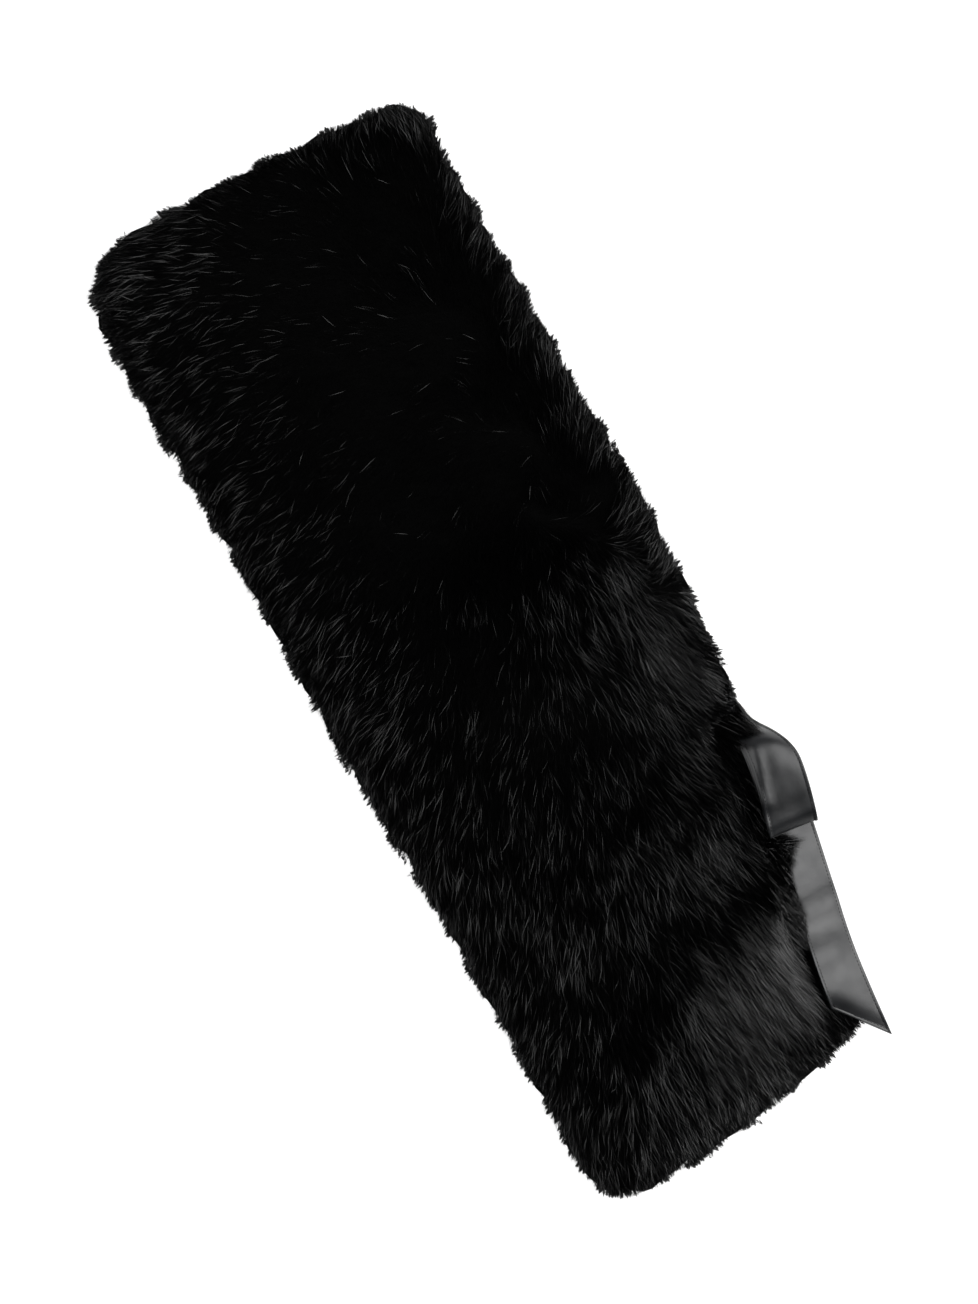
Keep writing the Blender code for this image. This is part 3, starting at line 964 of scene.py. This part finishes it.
def front_hairs(coat, rng):
    at = scatter(coat.spacing, ROOT_INSET, rng)
    count = at.shape[1]
    locks = find_locks(at, LOCK_PITCH, np.random.default_rng(LOCK_SEED))
    nap, lie = nap_at(at)
    turn = RUFFLE_TURN * ruffle(at, np.random.default_rng(RUFFLE_SEED)) + LOCK_TURN * locks.turn
    lock_toward = turned(nap, turn)
    wild = rng.uniform(0, 1, count) < WILD_SHARE
    loose = np.clip(1.0 - lie, 0, 0.5)
    own_turn = np.where(wild, WILD_TURN, OWN_TURN + UPRIGHT_TURN * loose)
    toward = turned(lock_toward, own_turn * rng.normal(0, 1, count))
    lie = np.where(wild, WILD_LIE, lie + LIE_SHAKE * locks.reach) + LIE_SHAKE * rng.normal(0, 1, count)
    lie = np.clip(lie, 0, 1.1)

    longest = UPRIGHT_REACH + (FLAT_REACH - UPRIGHT_REACH) * np.sqrt(lie)
    longest[wild] *= WILD_REACH
    over = lock_over(FRONT_TEETH, locks)
    reach = shorten(at, toward, longest * rng.uniform(*coat.reach, count), over)
    reach = stop_at_crown(at, toward, reach, rng.uniform(-5, 2, count))
    lock_reach = shorten(locks.at, lock_toward, longest, over)
    at_edge = np.clip(1.4 - 1.4 * lock_reach / longest, 0, 1)
    together = rng.uniform(0, CLUMPING, count) + EDGE_CLUMPING * at_edge
    together[wild] = 0
    together *= np.clip(np.hypot(at[0] - CROWN_LEFT[0], at[1] - CROWN_LEFT[1]) / CROWN_FADE - 0.5, 0, 1)
    tip = (at + toward * reach) * (1 - together) + (locks.at + lock_toward * lock_reach) * together
    path = straight_path(at, tip, rng.normal(0, 0.5, count), coat.along)

    depth = coat.flat_depth + (coat.upright_depth - coat.flat_depth) * np.clip(1 - lie, 0, 1) ** 2
    depth = np.minimum(depth * rng.uniform(0.7, 1.0, count), read_grid(pile_top, at) - SEAM - 0.5)
    tip_depth = rng.uniform(*coat.tip_depth, count)
    for k, t in enumerate(coat.along):
        sunk = depth * (1 - t) ** (1 + coat.rise * lie) + tip_depth * t * t
        path[:, k, 2] = read_grid(pile_top, path[:, k, :2].T) - sunk
    path, keep = make_room(path, coat.along)
    width = rng.uniform(*coat.width, count) * np.interp(lie, *LOFT_WIDTH)
    twist = twists(lie**GLEAM_POWER, rng) + surface_roll(at + ROLL_AT * toward * reach, toward)
    return Hairs(path[keep], width[keep], twist[keep])


rng = np.random.default_rng(20)
front_underfur = in_stretches("front_underfur", front_hairs(UNDERFUR, rng), underfur, rng)
front_guard_hair = in_stretches("front_guard_hair", front_hairs(GUARD_HAIR, rng), guard_pile, rng)

# %% [markdown]
# ## Fur over the band
# Round the bow the fur doesn't stop at the leather. A tuft from the seam hides the place where the band
# comes out, and below the loop the pile spills over the tail's left side, least of all towards its end. The
# tuft's hairs are cut to a line, and those over the tail are laid by their tips: each tip gets its place on
# the leather, and its root lies off the leather's side.

# %% Hairs laid over leather
LEATHER_GAP = 0.8
LAID_DEPTH = (4, 10)  # how deep the roots of these hairs are in the pile
LAID_WIDTH = (0.24, 0.4)


def over_leather(leather, at, tip, bow, most_gap, rng):
    """Paths at the pile's own height up to the tips, or straight to a tip that lies on the leather."""
    count = at.shape[1]
    path = straight_path(at, tip, rng.normal(0, bow, count), LONG)
    at = np.moveaxis(path, 2, 0)[:2]
    own = read_grid(pile_top, at) - rng.uniform(*LAID_DEPTH, count)[:, None] * (1 - np.array(LONG)) ** 2
    band = nearest_cell(leather, at) + rng.uniform(LEATHER_GAP, most_gap, count)[:, None]
    own[:, -1] = np.fmax(own[:, -1], band[:, -1])
    chord = own[:, :1] + (own[:, -1:] - own[:, :1]) * np.array(LONG)
    path[:, :, 2] = np.fmax(np.fmax(own, np.where(np.isfinite(band[:, -1:]), chord, own)), band)
    return path


# %% Tuft over the band's root
TUFT_HAIRS = 6000
TUFT_BOX = (116, 147, -146, -112)
TUFT_HEADING = 309  # degrees, on the left
TUFT_TURN = 20  # less on the right
TUFT_SIDES = (128, 144)  # and between these the heading turns
TUFT_INSET = 1.0
TUFT_SPREAD = 5
TUFT_REACH = (20, 34)
TUFT_GLEAM = 0.12
TUFT_LIMIT_Y = (-167, -160, -150, -141, -124, -99)
TUFT_LIMIT_X = (157, 153.5, 148.5, 146, 145.5, 146)  # about how far right a tip lies at each y


def tuft_hairs(rng):
    at = np.array([rng.uniform(*TUFT_BOX[:2], TUFT_HAIRS), rng.uniform(*TUFT_BOX[2:], TUFT_HAIRS)])
    at = at[:, read_grid(inset_grid, at) > TUFT_INSET]
    count = at.shape[1]
    limit = rng.uniform(-3, 1, count)
    left, right = TUFT_SIDES
    heading = TUFT_HEADING - TUFT_TURN * np.clip((at[0] - left) / (right - left), 0, 1)
    toward = turned((1.0, 0.0), np.radians(heading + TUFT_SPREAD * rng.normal(0, 1, count)))
    reach = rng.uniform(*TUFT_REACH, count)
    reach = stop_at_crown(at, toward, reach, rng.uniform(-6, 3, count))
    for _ in range(3):
        tip = at + toward * reach
        beyond = tip[0] - np.interp(tip[1], TUFT_LIMIT_Y, TUFT_LIMIT_X) - limit
        reach = np.maximum(reach - np.maximum(beyond, 0) / toward[0], SHORTEST)
    path = over_leather(over_band, at, at + toward * reach, 0.6, 2.4, rng)
    return Hairs(path, rng.uniform(*LAID_WIDTH, count), twists(np.full(count, TUFT_GLEAM), rng))


root_tuft = hair_piece("root_tuft", tuft_hairs(rng), guard_pile, rng)

# %% Pile over the tail
DRAPE_HAIRS = 9500
DRAPE_EDGE_Y = (-330, -307, -288, -273, -266, -259, -252, -245, -239.5)
DRAPE_EDGE_X = (102, 112, 115, 120, 127, 135, 139, 138, 133)  # how far right the pile reaches at each y
DRAPE_START = 4.0  # its first tips lie this far left of the tail
DRAPE_LOCK = 5.0
DRAPE_REACH = (18, 28)
DRAPE_GLEAM = ((-305, -280), (0.6, 0.06))  # y, and the share of hairs that gleam there
FAN_END = -262.0  # above this the hairs fan out from beside the fold
FAN_FADE = 12.0
FAN_REACH = (4, 16)
FOLD_FOOT = -237.0  # their roots lie below the fold


def left_side(grid, y):
    """The x of a grid's first filled cell in the rows at y."""
    first = grid.left + grid.step * np.argmax(~np.isnan(grid.values), axis=1)
    return np.interp(y, grid.low + grid.step * np.arange(len(first)), first)


def drape_hairs(rng):
    count = DRAPE_HAIRS
    tip_y = rng.uniform(DRAPE_EDGE_Y[0], DRAPE_EDGE_Y[-1], count)
    side = left_side(tail_top, tip_y)
    locks = find_locks((side, tip_y), DRAPE_LOCK, rng)
    share = rng.uniform(0, 1, count) ** 0.8 + 0.05 * locks.over + 0.08 * rng.normal(0, 1, count)
    tip_x = side - DRAPE_START + (np.interp(tip_y, DRAPE_EDGE_Y, DRAPE_EDGE_X) - side + DRAPE_START) * share
    fan = np.clip((tip_y - FAN_END) / FAN_FADE, 0, 1)
    y = tip_y + rng.uniform(*DRAPE_REACH, count) * (1 - fan) + rng.uniform(*FAN_REACH, count) * fan
    y = np.minimum(y, FOLD_FOOT - rng.uniform(0, 6, count) * fan)
    beside = left_side(tail_top, y) - rng.uniform(0.5, 4, count)
    x = np.minimum(tip_x - rng.uniform(3, 8, count), beside) * (1 - fan)
    x += (left_side(tail_top, y) - rng.uniform(1, 11, count)) * fan
    path = over_leather(over_tail, np.array([x, y]), np.array([tip_x, tip_y]), 0.5, 2.6, rng)
    roof = nearest_cell(loop_under, np.moveaxis(path, 2, 0)[:2])
    free = (np.isnan(roof) | (path[:, :, 2] < roof - LEATHER_GAP)).all(axis=1)
    twist = twists(np.interp(tip_y, *DRAPE_GLEAM), rng)
    return Hairs(path[free], rng.uniform(*LAID_WIDTH, count)[free], twist[free])


tail_drape = hair_piece("tail_drape", drape_hairs(rng), guard_pile, rng)

# %% [markdown]
# ## Edge fringe
# The back panel's pile curls up round the wrap's edge and hides the seam. Its hairs start inside the rim,
# at all heights from the table to the seam, and lean outwards and along the nap. Most hairs of a lock run
# to one tip, and these tips are the small teeth of the outline. A few loose ones lie between them and close
# the gaps.

# %% Edge fringe
FRINGE_HAIRS = 52000
FRINGE_LOCK = 3.6
FRINGE_REACH = 24.0
FRINGE_ROOT = (6, 14)  # how far inside the rim the hairs start
FRINGE_LEAN = 0.6  # how much of the nap's direction they take
FRINGE_TURN = math.radians(6)
FRINGE_TEETH = Teeth(0.9, 0.8, -0.5, 2.8)
FRINGE_LOOSE = 0.08  # the share of its hairs that lie beside the tips, and close the gaps
FRINGE_APART = (0.02, 0.3)  # a hair's distance from its lock, as a share that is left at the tip
LOOSE_APART = (0.6, 1.0)
LOOSE_SHORT = (1.0, 4.0)  # how much shorter the loose hairs are
FRINGE_START = (0.8, SEAM + 1.5)  # the heights of its roots
FRINGE_DROP = (0.5, 1.05)  # and the share of that height at the tip
FRINGE_ARCH = 2.4
FRINGE_WIDTH = (0.4, 0.72)
FRINGE_TWIST = math.radians(60)
NOTCH = (126, 152, -156, -137)  # left, right, low and high side of the band's slit, which has no fringe


def fringe_hairs(rng):
    count = FRINGE_HAIRS
    start = np.array([tuple(point) for point in rim])[rng.integers(0, len(rim), count)]
    start += rng.uniform(-0.5, 0.5, start.shape)
    start = start.T
    at = start - way_out(start) * rng.uniform(*FRINGE_ROOT, count)
    locks = find_locks(at, FRINGE_LOCK, rng)
    out = way_out(locks.at)
    nap, _ = nap_at(locks.at)
    toward = out + FRINGE_LEAN * (nap[1] * out[0] - nap[0] * out[1]) * left_of(out)
    toward = turned(toward / np.hypot(*toward), FRINGE_TURN * locks.turn)
    reach = shorten(locks.at, toward, np.full(count, FRINGE_REACH), lock_over(FRINGE_TEETH, locks))
    apart = rng.uniform(*FRINGE_APART, count)
    loose = rng.uniform(0, 1, count) < FRINGE_LOOSE
    apart[loose] = rng.uniform(*LOOSE_APART, loose.sum())
    reach[loose] -= rng.uniform(*LOOSE_SHORT, loose.sum())
    tip = locks.at + toward * reach + (at - locks.at) * apart
    path = straight_path(at, tip, rng.normal(0, 0.2, count), SHORT)
    root_z = rng.uniform(*FRINGE_START, count)
    tip_z = root_z * rng.uniform(*FRINGE_DROP, count)
    for k, t in enumerate(SHORT):
        path[:, k, 2] = root_z + (tip_z - root_z) * t + FRINGE_ARCH * t * (1 - t)
    path, keep = make_room(path, SHORT)
    left, right, low, high = NOTCH
    keep &= ~((start[0] > left) & (start[0] < right) & (start[1] > low) & (start[1] < high))
    twist = FRINGE_TWIST * rng.uniform(-1, 1, count)
    return Hairs(path[keep], rng.uniform(*FRINGE_WIDTH, count)[keep], twist[keep])


edge_fringe = hair_piece("edge_fringe", fringe_hairs(rng), underfur, rng)

# %% [markdown]
# ## Underside
# The back panel's pile is the same fur, pressed flat between the cloth and the table. It is seen only when
# the wrap is turned over, so it has fewer and broader hairs, all stroked towards the bow end.

# %% Underside pile
UNDERSIDE_SPACING = 4.3
UNDERSIDE_INSET = 4.0
UNDERSIDE_HEADING = math.radians(262)
UNDERSIDE_REACH = (16, 24)
UNDERSIDE_WIDTH = (0.7, 1.1)


def underside_hairs(rng):
    at = scatter(UNDERSIDE_SPACING, UNDERSIDE_INSET, rng)
    count = at.shape[1]
    turn = np.radians(12) * ruffle(at, rng) + np.radians(8) * rng.normal(0, 1, count)
    toward = turned((math.cos(UNDERSIDE_HEADING), math.sin(UNDERSIDE_HEADING)), turn)
    reach = shorten(at, toward, rng.uniform(*UNDERSIDE_REACH, count), np.full(count, -1.0))
    path = straight_path(at, at + toward * reach, rng.normal(0, 1.0, count), SHORT)
    root_z = UNDERSIDE_PILE + 0.4
    tip_z = rng.uniform(0.3, 1.4, count)
    path[:, :, 2] = root_z + (tip_z - root_z)[:, None] * np.sqrt(SHORT)
    return Hairs(path, rng.uniform(*UNDERSIDE_WIDTH, count), np.radians(25) * rng.uniform(-1, 1, count))


back_pile = hair_piece("back_pile", underside_hairs(rng), guard_pile, rng)

# %% [markdown]
# ## Leather band
# The band is two layers of nappa turned in at the edges, which makes a doubled rim outside the line of
# stitches. The solid already has its true thickness and folds. On a merged copy the outer skin is inset
# twice: once for the rim, and once more, a little lower, for the groove that the stitches pull. Then the
# band's swells bend it, because handled leather never lies quite even and each wave catches the light on
# one side. Last, a bevel rounds its cut edges.

# %% Skin and rim of the band
SHARP = math.radians(50)


def outer_skin(bm):
    """The faces of a band's outer side: all that its highest face reaches without crossing a sharp edge."""
    waiting = [max(bm.faces, key=lambda face: face.calc_center_median().z)]
    skin = set(waiting)
    while waiting:
        for edge in waiting.pop().edges:
            if edge.calc_face_angle(0) < SHARP:
                fresh = [face for face in edge.link_faces if face not in skin]
                skin.update(fresh)
                waiting += fresh
    return [face for face in bm.faces if face in skin]  # in the mesh's order, which is the same in each run


def boundary_ring(faces):
    """The corners round a region of faces, in order."""
    inside = set(faces)
    after = {}
    for face in faces:
        for loop in face.loops:
            if any(other not in inside for other in loop.edge.link_faces):
                after[loop.vert] = loop.link_loop_next.vert
    ring = [next(iter(after))]
    while after[ring[-1]] is not ring[0]:
        ring.append(after[ring[-1]])
    return ring


# %% Leather band
LEVEL = math.radians(12)  # triangles that turn less than this are joined to quads
SKEW = math.radians(40)
LONGEST_EDGE = 4.5
TURNED_RIM = 1.4
GROOVE_WIDTH = 0.9
GROOVE_DEPTH = 0.6
EDGE_ROUND = 0.6


def leather_piece(name, node):
    """The dressed band of a node, and the line of its stitches as places and normals."""
    bm = merged_copy(node)
    bmesh.ops.join_triangles(bm, faces=bm.faces, angle_face_threshold=LEVEL, angle_shape_threshold=SKEW)
    long_edges = [edge for edge in bm.edges if edge.calc_length() > LONGEST_EDGE * MM]
    bmesh.ops.subdivide_edges(bm, edges=long_edges, cuts=1, use_grid_fill=True)
    bm.normal_update()
    skin = outer_skin(bm)
    for thickness, depth in ((TURNED_RIM, 0.0), (GROOVE_WIDTH, -GROOVE_DEPTH)):
        bmesh.ops.inset_region(
            bm,
            faces=skin,
            thickness=thickness * MM,
            depth=depth * MM,
            use_boundary=True,
            use_even_offset=True,
        )
    for vert in bm.verts:
        vert.co.z += swell_heights(BAND_SWELLS, np.array(vert.co.xy) / MM) * MM
    bm.normal_update()
    stitch_line = [(vert.co.copy(), vert.normal.copy()) for vert in boundary_ring(skin)]
    bmesh.ops.bevel(
        bm,
        geom=[edge for edge in bm.edges if edge.calc_face_angle(0) > SHARP],
        offset=EDGE_ROUND * MM,
        segments=3,
        profile=0.5,
        affect="EDGES",
        material=-1,
        clamp_overlap=True,
    )
    print(name, len(bm.faces), "faces, stitch line of", len(stitch_line), "corners")
    piece = new_piece(name, bm, nappa, sharp=60)
    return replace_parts(piece, node), stitch_line


leather_loop, loop_line = leather_piece("leather_loop", "ribbon_loop")
leather_tail, tail_line = leather_piece("leather_tail", "ribbon_tail")

# %% [markdown]
# The topstitching is black bonded thread, eight stitches to the inch, sunk a little into its groove. Each
# stitch is one small capsule along the line, of a few dozen faces, because there are hundreds of them.

# %% Stitches
STITCH_PITCH = 3.2
STITCH_LENGTH = 2.3
THREAD_RADIUS = 0.3
STITCH_RISE = 0.12


def add_stitches(bm, line):
    """Adds a capsule at every stitch pitch along a closed line of places and normals."""
    size = Matrix.Diagonal((STITCH_LENGTH / 2 * MM, THREAD_RADIUS * MM, THREAD_RADIUS * MM, 1))
    turned_up = Matrix.Rotation(math.pi / 2, 4, "Y")
    count = 0
    carried = 0.0
    for (start, normal), (end, _) in zip(line, line[1:] + line[:1]):
        run = end - start
        while carried < run.length:
            along = run.normalized()
            across = normal.cross(along).normalized()
            frame_axes = Matrix((along, across, along.cross(across))).transposed().to_4x4()
            frame_axes.translation = start + along * carried + normal * STITCH_RISE * MM
            bmesh.ops.create_uvsphere(
                bm, u_segments=6, v_segments=5, radius=1, matrix=frame_axes @ size @ turned_up
            )
            carried += STITCH_PITCH * MM
            count += 1
        carried -= run.length
    return count


def stitches_piece(name, line):
    bm = bmesh.new()
    print(name, add_stitches(bm, line), "stitches")
    return new_piece(name, bm, thread)


loop_stitches = stitches_piece("loop_stitches", loop_line)
tail_stitches = stitches_piece("tail_stitches", tail_line)

print("sheets:", [piece.name for piece in (front_ground, back_ground, leather_loop, leather_tail)])
